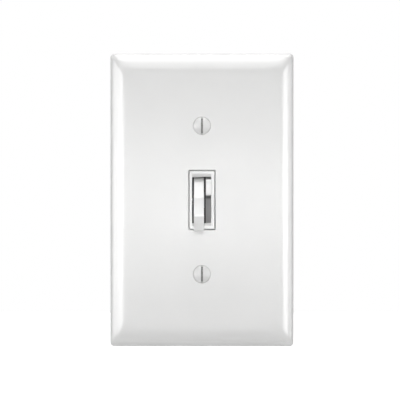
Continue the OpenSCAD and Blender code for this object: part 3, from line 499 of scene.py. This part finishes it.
def flankRings(halfWidth, halfHeight, radius, edge, rise, flank, steps):
    # From the straight edge up the curve to the face
    power = 2 / plate["power"]
    rings = []
    for c, s in quarterTurn(steps):
        inwards = flank * (1 - c ** power)
        corner, y = radius + plate["cornerGrowth"] * inwards, -edge - rise * s ** power
        rings.append(roundedRing(halfWidth - inwards, halfHeight - inwards, corner, y))
    return rings


def makeWallPlate():
    low, high = (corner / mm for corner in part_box("wall_plate"))
    halfWidth, halfHeight, front = high.x, high.z, low.y
    radius, rim, edge = plate["cornerRadius"], plate["rim"], plate["edge"]
    flank, soft = plate["flank"], plate["softEdge"]
    inside = front + plate["wall"]
    rooted = inside - overlap
    shell = Shell()
    hollow = flankRings(halfWidth - rim, halfHeight - rim, radius / 2, edge / 2, -inside - edge / 2,
                        flank - rim / 2, plate["insideSteps"])
    rimInner = roundedRing(halfWidth - rim, halfHeight - rim, radius / 2, 0)
    rimRound = [roundedRing(halfWidth - soft * (1 - s), halfHeight - soft * (1 - s), radius,
                            -soft * (1 - c)) for c, s in quarterTurn(3)]
    outside = flankRings(halfWidth, halfHeight, radius, edge, -front - edge, flank, plate["outsideSteps"])
    flatStart = flank + plate["flatMargin"]
    flatRadius = radius + plate["cornerGrowth"] * flank
    flat = roundedRing(halfWidth - flatStart, halfHeight - flatStart, flatRadius, front)
    loops = shell.loft([*reversed(hollow), rimInner, *rimRound, *outside, flat])

    openHalf = [side / 2 for side in plate["opening"]]
    rounding = [(soft * (1 - s), front + soft * (1 - c)) for c, s in quarterTurn(4)]

    def openingRing(grow, y):
        return roundedRing(openHalf[0] + grow, openHalf[1] + grow, plate["openingRadius"] + grow, y, 4)

    holes = [shell.loft([*[openingRing(grow, y) for grow, y in rounding], openingRing(0, inside)])]
    headRadius = plate["screwHeadRadius"] + plate["screwHeadGap"]
    coneEnd = front + (headRadius - plate["screwHole"]) / math.tan(countersinkHalfAngle)
    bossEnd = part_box("mounting_strap")[0].y / mm - plate["behindGap"]
    for side in (-1, 1):
        centre = (0, side * plate["screwPitch"] / 2)
        profile = [(headRadius + grow, y) for grow, y in rounding]
        profile += [(plate["screwHole"], coneEnd), (plate["screwHole"], inside)]
        holes.append(shell.loft([circleRing(r, y, centre) for r, y in profile]))
        shell.tube(centre, plate["bossRadius"], plate["screwHole"], rooted, bossEnd)
        ribX, ribHalf = side * plate["ribX"], plate["ribThickness"] / 2
        ribTop = halfHeight - plate["ribEnd"]
        shell.block((ribX - ribHalf, rooted, -ribTop), (ribX + ribHalf, bossEnd, ribTop))
    shell.fill(loops[-1], [hole[0] for hole in holes])
    shell.fill(loops[0], [hole[-1] for hole in holes])
    collar = [(0, rooted), (plate["frameWall"], rooted), (plate["frameWall"], bossEnd), (0, bossEnd)]
    shell.loft([openingRing(grow, y) for grow, y in collar], closed=True)
    settle(shell.object("wall_plate_shell"), "white_nylon", "wall_plate")


makeWallPlate()
print("wall plate modelled")


# Screws, each drawn with its head towards -Y and its seat at Y 0, then turned and put in place.
# A drive is a list of cuts (half width, half length, depth), and one longer than the head crosses all of it.

crossDrive = [(0.5, 9, 1.1), (2.0, 0.5, 1.1)]

screwLooks = {
    "plate_screws": {"finish": "white_paint", "head": 3.5, "dome": 0.9, "height": 0.9, "sunk": True,
                     "drive": [(0.4, 9, 1.6)], "softSlot": 0.2, "slotShade": "painted_slot_shade"},
    "box_screws": {"finish": "zinc_steel", "head": 3.4, "dome": 0.55, "height": 1.9, "neck": 1.45,
                   "neckLength": 2.6, "drive": [(0.55, 9, 1.1), (2.0, 0.55, 1.3)], "softSlot": 0.08},
    "body_screws": {"finish": "zinc_steel", "head": 2.4, "dome": 0.5, "height": 1.7, "thread": 1.25,
                    "pitch": 0.9, "drive": [(0.36, 1.5, 1.1), (1.5, 0.36, 1.1)], "softSlot": 0.05},
}
terminalFinishes = {"traveller_screws": "brass", "common_screw": "black_steel", "earth_screw": "green_steel"}
for node, finish in terminalFinishes.items():
    screwLooks[node] = {"finish": finish, "head": 3.7, "dome": 0.45, "height": 1.8, "thread": 1.95,
                        "drive": crossDrive, "softSlot": 0.08}

screwCut = {
    "around": 32,
    "domeSteps": 12,
    "perTurn": 8,  # rows of a thread
    "thread": 1.75,
    "pitch": 0.794,
    "depthPerPitch": 0.5,
    "crest": 0.25,  # flat top of a thread, and each slope beside it, in pitches
    "slope": 0.25,
    "runOut": 1.2,  # pitches over which a thread fades at its ends
    "rim": (0.08, 0.02),  # softness of the head's rim, and how far the dome rises over it
    "sunkRim": (0.06, 0.18),  # edge of a sunk head
    "chamfer": 0.1,
    "neckLength": 0.3,
    "point": 1.0,
    "pointShare": 0.1,  # of the length, where that is less
    "pointTaper": 0.6,
    "floorShare": 0.45,  # part of a slot's depth above its floor, which gets the painted shade
    "floorReach": 1.01,  # takes in its walls
    "floorFacing": 0.3,  # leaves out what looks backwards
    "nearby": 0.05,
}


def threadRows(shell, major, pitch, y0, y1):
    # Helical thread whose first and last rows are plain circles
    around, perTurn = screwCut["around"], screwCut["perTurn"]
    depth, runOut = screwCut["depthPerPitch"] * pitch, screwCut["runOut"] * pitch
    slope = screwCut["slope"]
    rows = math.ceil((y1 - y0) / pitch * perTurn)
    grid = []
    for row in range(-perTurn, rows + perTurn + 1):
        off = abs(row % perTurn / perTurn - 0.5)
        crest = min(1, max(0, (screwCut["crest"] / 2 + slope - off) / slope))
        points = []
        for k in range(around):
            y = min(y1, max(y0, y0 + pitch * (row / perTurn + k / around)))
            fade = min(1, (y - y0) / runOut, (y1 - y) / runOut)
            radius = major - depth * (1 - crest * fade)
            angle = -2 * math.pi * k / around
            points.append((radius * math.cos(angle), y, radius * math.sin(angle)))
        grid.append(shell.ring(points))
    for row, (these, those) in enumerate(zip(grid, grid[1:])):
        for k in range(around - 1):
            shell.faces.append((these[k], these[k + 1], those[k + 1], those[k]))
        if row + perTurn + 1 < len(grid):  # the row one turn on starts where this one ends
            shell.faces.append((these[-1], grid[row + perTurn][0], grid[row + perTurn + 1][0], those[-1]))
    return grid[0], grid[-1]


def slotShadeFaces(screw, look):
    # Faces on the floor of the head's first slot, which get painted shade
    halfWidth, _, depth = look["drive"][0]
    within = halfWidth * screwCut["floorReach"]
    top = depth * screwCut["floorShare"] - look["height"]
    bottom = depth - look["height"] + screwCut["nearby"]
    return [face.index for face in screw.data.polygons
            if abs(face.center.x) < within * mm and abs(face.center.z) < look["head"] * mm
            and top * mm < face.center.y < bottom * mm and face.normal.y < screwCut["floorFacing"]]


def makeScrew(name, node, centre, facing, length, plain=False):
    # facing is the angle about Z that turns the head from -Y, and length is below the head
    look = screwLooks[node]
    head, dome, height = look["head"], look["dome"], look["height"]
    major, pitch = look.get("thread", screwCut["thread"]), look.get("pitch", screwCut["pitch"])
    around, chamfer, steps = screwCut["around"], screwCut["chamfer"], screwCut["domeSteps"]
    root = major - screwCut["depthPerPitch"] * pitch
    ball = (head ** 2 + dome ** 2) / (2 * dome)
    turns = [math.asin(head / ball) * i / steps for i in range(1, steps)]
    profile = [(ball * math.sin(a), ball * (1 - math.cos(a)) - height) for a in turns]
    rim, rimRise = screwCut["rim"]
    profile += [(head - rim, dome - height - rimRise), (head, dome - height + rim)]
    if look.get("sunk"):
        sunkRim, sunkDrop = screwCut["sunkRim"]
        threadStart = (head - root) / math.tan(countersinkHalfAngle) + chamfer
        profile += [(head - sunkRim, sunkDrop), (root, threadStart)]
    else:
        threadStart = look.get("neckLength", screwCut["neckLength"])
        neck = look.get("neck", root)
        profile += [(head, -chamfer), (head - chamfer, 0), (neck, 0), (neck, threadStart - chamfer)]
    shell = Shell()
    loops = shell.loft([circleRing(radius, y, steps=around) for radius, y in profile])
    shell.faces.append(tuple(loops[0]))
    point = min(screwCut["point"], length * screwCut["pointShare"])
    if plain:
        start = end = shell.ring(circleRing(root, length - point, steps=around))
    else:
        start, end = threadRows(shell, major, pitch, threadStart, length - point)
    shell.join(loops[-1], start)
    tip = shell.ring(circleRing(root - point * screwCut["pointTaper"], length, steps=around))
    shell.join(end, tip)
    shell.faces.append(tuple(tip))
    screw = shell.object(name)
    for halfWidth, halfLength, depth in look["drive"]:
        cutter = Shell()
        cutter.block((-halfWidth, -height - past, -halfLength), (halfWidth, depth - height, halfLength))
        cutAway(screw, cutter)
    wide = head + past
    roundEdges(screw, look["softSlot"], ((-wide, -height - past, -wide), (wide, screwCut["nearby"], wide)))
    shadeFaces = slotShadeFaces(screw, look) if "slotShade" in look else []
    screw.data.transform(Matrix.Translation(Vector(centre) * mm) @ Matrix.Rotation(facing, 4, "Z"))
    settle(screw, look["finish"], node)
    # the slot's floor gets the grey of the painted shade
    if shadeFaces:
        screw.data.materials.append(finishes[look["slotShade"]])
        for index in shadeFaces:
            screw.data.polygons[index].material_index = 1


def makeScrews():
    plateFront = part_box("wall_plate")[0].y / mm
    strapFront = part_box("mounting_strap")[0].y / mm
    for node, seat in (("plate_screws", plateFront), ("box_screws", strapFront)):
        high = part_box(node)[1] / mm
        z = high.z - screwLooks[node]["head"]
        for word, side in (("upper", 1), ("lower", -1)):
            makeScrew(f"{node[:-1]}_{word}", node, (0, seat, side * z), 0, high.y - seat)
    low, high = (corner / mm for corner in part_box("body_screws"))
    head = screwLooks["body_screws"]["head"]
    seat = high.y - screwLooks["body_screws"]["height"]
    for number, (sideX, sideZ) in enumerate(((1, 1), (-1, 1), (-1, -1), (1, -1)), 1):
        centre = (sideX * (high.x - head), seat, sideZ * (high.z - head))
        makeScrew(f"body_screw_{number}", "body_screws", centre, math.pi, seat - low.y, plain=True)
    for node, sideX in (("traveller_screws", -1), ("common_screw", 1), ("earth_screw", -1)):
        low, high = (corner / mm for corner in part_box(node))
        head, height = screwLooks[node]["head"], screwLooks[node]["height"]
        middle = (low + high) / 2
        seat = high.x - height if sideX > 0 else low.x + height
        end = low.x if sideX > 0 else high.x
        single = high.z - low.z < 3 * head  # else two, one above the other
        heights = (middle.z,) if single else (high.z - head, low.z + head)
        for number, z in enumerate(heights, 1):
            name = node if single else f"{node[:-1]}_{number}"
            makeScrew(name, node, (seat, middle.y, z), sideX * math.pi / 2, abs(end - seat))


makeScrews()
print("screws modelled")


# Toggle and slide knob

toggle = {
    "hub": 8.65,
    "reach": 22.2,  # axle to the tip
    "root": 8.8,  # height of the bar where it leaves the hub
    "tip": 7.0,
    "tipRadius": 0.8,
    "tipCrown": 0.1,
    "fillet": 1.8,
    "waist": 8.05,  # axle to where the bar's edge meets the hub's flat
    "shoulder": 9.28,  # axle to the hub's corner
    "shoulderAngle": 82.0,  # of that corner from the bar
    "shoulderRadius": 0.75,
    "shoulderStart": 6.0,  # degrees behind the corner
    "shoulderEnd": 110.0,  # the shoulder runs on to here
    "hubStart": 120.0,  # and the outline is back on the hub here
    "hubSteps": 48,
    "softEdge": 0.32,
    "tilt": 25.0,
    "pocketRadius": 3.6,
    "pocketDepth": 1.05,
    "axleBore": 1.05,
    "plungerBore": 1.3,
    "plungerX": -1.25,
    "plungerBoreStart": 2.2,
}

knob = {
    "longer": 0.5,  # skirt at the lower end
    "dip": 0.12,
    "endFall": 0.15,
    "endRun": 0.8,
    "cornerRun": 0.2,
    "crestRun": 0.2,
    "flushSide": 1.0,  # straight side behind the nose's face
    "softEdge": 0.16,
    "pegHalf": 1.0,
    "pegInset": 0.35,
}


def inset(outline, depth):
    # Moves every point of a closed outline inwards, along the outline's own normal
    moved = []
    for i, point in enumerate(outline):
        along = (outline[(i + 1) % len(outline)] - outline[i - 1]).normalized()
        moved.append(point + depth * Vector((along.y, -along.x)))
    return moved


def softBar(shell, outline, x0, x1, soft, place, steps=6):
    # Runs an outline from x0 to x1 with rounded side edges
    left = [(x0 + soft * (1 - c), soft * (1 - s)) for c, s in quarterTurn(steps)]
    right = [(x0 + x1 - x, depth) for x, depth in reversed(left)]
    rings = [[place(x, point) for point in inset(outline, depth)] for x, depth in left + right]
    shell.loft(rings, capped=True)


def bendAt(before, corner, after, run, steps):
    # Rounds a corner between two straight runs
    start = corner + run * (before - corner).normalized()
    end = corner + run * (after - corner).normalized()
    shares = [i / steps for i in range(steps + 1)]
    return [start * (1 - t) ** 2 + corner * 2 * t * (1 - t) + end * t * t for t in shares]


def arc(distance, first, last, steps):
    # Points at one distance from the axle, between two angles in degrees
    turns = [math.radians(first + (last - first) * i / steps) for i in range(steps + 1)]
    return [distance * Vector((math.cos(a), math.sin(a))) for a in turns]


def toggleOutline():
    # Distance from the axle and height above the bar's middle, clockwise from the top of the hub
    root, tip, radius = toggle["root"] / 2, toggle["tip"] / 2, toggle["tipRadius"]
    rimEnd = toggle["shoulderAngle"] + toggle["shoulderStart"]
    rim = arc(toggle["shoulder"], toggle["shoulderEnd"], rimEnd, 5)
    shoulder = arc(toggle["shoulder"], toggle["shoulderAngle"], rimEnd, 1)[0]
    waist = Vector((math.sqrt(toggle["waist"] ** 2 - root ** 2), root))
    tipEdge = Vector((toggle["reach"] - radius, tip))
    upper = rim[:-1] + bendAt(rim[-1], shoulder, waist, toggle["shoulderRadius"], 8)
    upper += bendAt(shoulder, waist, tipEdge, toggle["fillet"], 10)
    upper += [Vector((tipEdge.x + radius * s, tip - radius + radius * c)) for c, s in quarterTurn(7)]
    for i in (1, 2, 3, 4):
        crown = toggle["tipCrown"] * (1 - (1 - i / 4) ** 2)
        upper.append(Vector((toggle["reach"] + crown, (tip - radius) * (1 - i / 4))))
    lower = [Vector((point.x, -point.y)) for point in reversed(upper[:-1])]
    start = toggle["hubStart"]
    return upper + lower + arc(toggle["hub"], -start, start - 360, toggle["hubSteps"])


def makeToggle():
    low, high = (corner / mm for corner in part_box("toggle_lever"))
    hinge = next(joint for joint in frame["joints"] if joint["name"] == "toggle_flip")
    pivot = Vector(hinge["pos_m"]) / mm
    tilt = math.radians(toggle["tilt"])
    forward = Vector((0, -math.cos(tilt), -math.sin(tilt)))
    upward = Vector((0, -math.sin(tilt), math.cos(tilt)))
    shell = Shell()
    softBar(shell, toggleOutline(), low.x, high.x, toggle["softEdge"],
            lambda x, p: Vector((x, pivot.y, pivot.z)) + forward * p.x + upward * p.y)
    lever = shell.object("toggle_handle")

    def rod(radius, *ends):
        cutter = Shell()
        circle = circleRing(radius, 0)
        cutter.loft([[(end, pivot.y - x, pivot.z + z) for x, _, z in circle] for end in ends], capped=True)
        return cutter

    bore = Shell()
    side = upward.cross(forward)
    heart = Vector((toggle["plungerX"], pivot.y, pivot.z))
    rings = [circleRing(toggle["plungerBore"], y)
             for y in (toggle["plungerBoreStart"], toggle["hub"] + 2 * past)]
    bore.loft([[heart - forward * y + side * x + upward * z for x, y, z in ring] for ring in rings],
              capped=True)
    cutAway(lever, rod(toggle["pocketRadius"], high.x - toggle["pocketDepth"], high.x + past),
            rod(toggle["axleBore"], low.x - past, high.x), bore)
    # the toggle's nylon is the copy with painted light
    settle(lever, "white_nylon", "toggle_lever", sharpest=40, look="nylon_with_painted_light")


def makeKnob():
    low, high = (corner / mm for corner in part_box("slide_knob"))
    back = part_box("slide_shutter")[0].y / mm
    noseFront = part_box("front_housing")[0].y / mm
    pegMiddle = (low.z + high.z) / 2
    low.z -= knob["longer"]
    middle, edge = (low.z + high.z) / 2, (high.z - low.z) / 2
    sideEnd = Vector((noseFront + knob["flushSide"], edge))
    corner = Vector((low.y + knob["endFall"], edge - knob["endRun"] / 2))
    crest = Vector((low.y, edge - knob["endRun"]))
    heart = Vector((low.y + knob["dip"], 0))
    upper = [Vector((back, edge)), sideEnd]
    upper += bendAt(sideEnd, corner, crest, knob["cornerRun"], 5)
    upper += bendAt(corner, crest, heart, knob["crestRun"], 5)
    for i in (1, 2, 3):
        z = (crest.y - knob["crestRun"]) * (1 - i / 4)
        upper.append(Vector((low.y + knob["dip"] * (1 - (z / crest.y) ** 2), z)))
    outline = [Vector((point.x, -point.y)) for point in upper] + [heart] + upper[::-1]
    shell = Shell()
    softBar(shell, outline, low.x, high.x, knob["softEdge"], lambda x, p: (x, p.x, middle + p.y))
    shell.block((low.x + knob["pegInset"], back - overlap, pegMiddle - knob["pegHalf"]),
                (high.x - knob["pegInset"], high.y, pegMiddle + knob["pegHalf"]))
    # the knob's nylon is the copy with painted light
    settle(shell.object("slide_button"), "white_nylon", "slide_knob", sharpest=40, look="nylon_with_painted_light")


def makeSpring():
    # the spring behind the plunger, a copy of the frame's coil on its own mesh
    spring = bpy.data.objects.new("coil_spring", frame["nodes"]["plunger_spring"].data.copy())
    bpy.context.collection.objects.link(spring)
    settle(spring, "spring_steel", "plunger_spring")
    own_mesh(spring)


makeToggle()
makeKnob()
makeSpring()
print("toggle, slide knob and spring modelled")


# Nose: the housing's own shape with softer edges, the wall between the controls set further back and dark
# as painted shade in the slot, and a dark shield round the toggle's hub as painted shade in the gaps beside
# it

nose = {
    "front": (10.04, 23.5),  # face, with draft on its four sides
    "frontDepth": 0.05,  # what lies this near the face is drawn in with it
    "frontRim": 0.4,
    "slotHalf": 9.4,
    "slotLeft": 0.7,  # clear of the toggle
    "slotRight": 0.03,  # clear of the knob
    "slotWas": 3.85,  # half width of the slot before it is moved over
    "slotNear": 0.02,
    "slotBack": 1.7,  # sides further back than this stay
    "dividerFront": -0.6,
    "divider": (0.95, 1.45),  # wall between the controls, dark as painted shade in the slot
    "dividerClear": 0.05,
    "shutterClear": 0.2,
    "softEdge": 0.16,
    "softDepth": 3.0,  # edges this far back from the nose's face are rounded
    "sharpest": 30,  # degrees, flatter edges are left alone
    "shieldLeft": 0.55,  # clear of the toggle
    "shieldRight": 0.1,
    "hubClear": 0.08,
    "shieldWall": 0.7,
    "shieldFront": 1.3,
    "shieldWeb": (4.3, 4.9),  # where the webs stand behind the hub's widest part
    "webInset": 0.6,
    "washer": 1.7,  # radius of the spacer on the axle
    "washerInset": 0.02,
    "pinClear": 1.08,
}


def makeNose():
    low, high = (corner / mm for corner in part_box("front_housing"))
    toggleLow, toggleHigh = (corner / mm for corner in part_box("toggle_lever"))
    knobLow, knobHigh = (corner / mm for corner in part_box("slide_knob"))
    housing = bpy.data.objects.new("nose_housing", frame["nodes"]["front_housing"].data.copy())
    bpy.context.collection.objects.link(housing)
    work = bmesh.new()
    work.from_mesh(housing.data)
    bmesh.ops.remove_doubles(work, verts=work.verts, dist=weldDistance)
    bmesh.ops.dissolve_limit(work, angle_limit=flatAngle, verts=work.verts, edges=work.edges)
    inFront = [vert for vert in work.verts if vert.co.y < (low.y + nose["frontDepth"]) * mm]
    face = [max(abs(vert.co[k]) for vert in inFront) for k in (0, 2)]
    rim = [half - nose["frontRim"] * mm for half in face]
    slotSides = ((-nose["slotWas"], toggleLow.x - nose["slotLeft"]),
                 (nose["slotWas"], knobHigh.x + nose["slotRight"]))
    for vert in work.verts:
        if vert in inFront and (abs(vert.co.x) > rim[0] or abs(vert.co.z) > rim[1]):
            for k, side in enumerate(nose["front"]):
                vert.co[2 * k] *= side / 2 * mm / face[k]
        elif vert.co.y < nose["slotBack"] * mm:
            for was, moved in slotSides:
                if abs(vert.co.x - was * mm) < nose["slotNear"] * mm:
                    vert.co.x = moved * mm
                    break
    work.to_mesh(housing.data)
    work.free()
    top, flangeBack = nose["slotHalf"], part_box("slide_shutter")[0].y / mm - nose["shutterClear"]
    clear, (dividerLeft, dividerRight) = nose["dividerClear"], nose["divider"]
    cutter = Shell()
    cutter.block((toggleHigh.x + clear, low.y - past, -top), (knobLow.x - clear, flangeBack, top))
    cutAway(housing, cutter)
    divider = Shell()
    divider.block((dividerLeft, nose["dividerFront"], -top), (dividerRight, flangeBack - clear, top))
    sharpest = nose["sharpest"]
    # the divider's dark thermoset is painted shade in the slot
    settle(divider.object("slot_shade_divider"), "dark_thermoset", "front_housing", sharpest, replaced=False)
    rounded = ((low.x, low.y - past, low.z), (high.x, low.y + nose["softDepth"], high.z))
    roundEdges(housing, nose["softEdge"], rounded, sharpest)
    settle(housing, "white_nylon", "front_housing", sharpest)
    left, right = toggleLow.x - nose["shieldLeft"], toggleHigh.x + nose["shieldRight"]
    hubSide = toggleLow.x - nose["hubClear"]
    wall, (webFront, webBack) = nose["shieldWall"], nose["shieldWeb"]
    # the shield's dark thermoset paints shade into the gaps beside the toggle
    shield = Shell()
    shield.block((left - wall, nose["shieldFront"], -top - wall), (left, webBack, top + wall))
    for side in (-1, 1):
        ends = sorted((side * top, side * (top + wall)))
        shield.block((left - wall, nose["shieldFront"], ends[0]), (right, webBack, ends[1]))
        ends = sorted((side * (top - nose["webInset"]), side * (top + wall)))
        shield.block((left - wall, webFront, ends[0]), (right, webBack, ends[1]))
    shield.block((left - wall, webFront, -top - wall), (hubSide, webBack, top + wall))
    pin = sum(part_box("toggle_pin"), Vector()) / 2 / mm
    bore, washer, washerSide = nose["pinClear"], nose["washer"], left + nose["washerInset"]
    profile = ((bore, washerSide), (washer, washerSide), (washer, hubSide), (bore, hubSide))
    shield.loft([[(x, pin.y + z, pin.z + y) for y, _, z in circleRing(radius, 0, steps=24)]
                 for radius, x in profile], closed=True)
    settle(shield.object("hub_shade_shield"), "dark_thermoset", "front_housing", sharpest, replaced=False)


makeNose()
print("nose modelled")


# What carries over from the frame keeps its shape, with its edges softened

edgeWidths = {
    "back_body": 0.25,
    "mounting_strap": 0.12,
    "screw_retainers": 0.06,
    "slide_shutter": 0.05,
    "switch_base": 0.1,
    "triac_body": 0.1,
    "filter_capacitor": 0.4,
    "timing_capacitor": 0.25,
    "circuit_board": 0.05,
    "pot_case": 0.1,
    "slide_carriage": 0.08,
    "traveller_terminal_upper": 0.06,
    "traveller_terminal_lower": 0.06,
    "common_terminal": 0.06,
    "contact_rocker": 0.05,
}
softening = {
    "weld": 1e-6,  # metres
    "sharpest": 38,  # degrees, flatter edges are left alone
}


def carryOver(part):
    node = frame["nodes"][part["node"]]
    node.data.materials.clear()
    node.data.materials.append(finishes[part["material_slot"]])
    if node.hide_render or part["node"] not in edgeWidths:
        return
    weld = node.modifiers.new("weld", "WELD")
    weld.merge_threshold = softening["weld"]
    flatten = node.modifiers.new("flat_faces", "DECIMATE")
    flatten.decimate_type = "DISSOLVE"
    flatten.angle_limit = flatAngle
    bevel = node.modifiers.new("soft_edges", "BEVEL")
    bevel.width = edgeWidths[part["node"]] * mm
    bevel.segments = 2
    # the bends of the traveller terminals would stop their bevel
    bevel.use_clamp_overlap = not part["node"].startswith("traveller_terminal")
    bevel.limit_method = "ANGLE"
    bevel.angle_limit = math.radians(softening["sharpest"])
    normals = node.modifiers.new("even_faces", "WEIGHTED_NORMAL")
    normals.mode = "FACE_AREA"
    normals.keep_sharp = False


for part in frame["record"]["subparts"]:
    carryOver(part)
print("carried-over nodes finished")
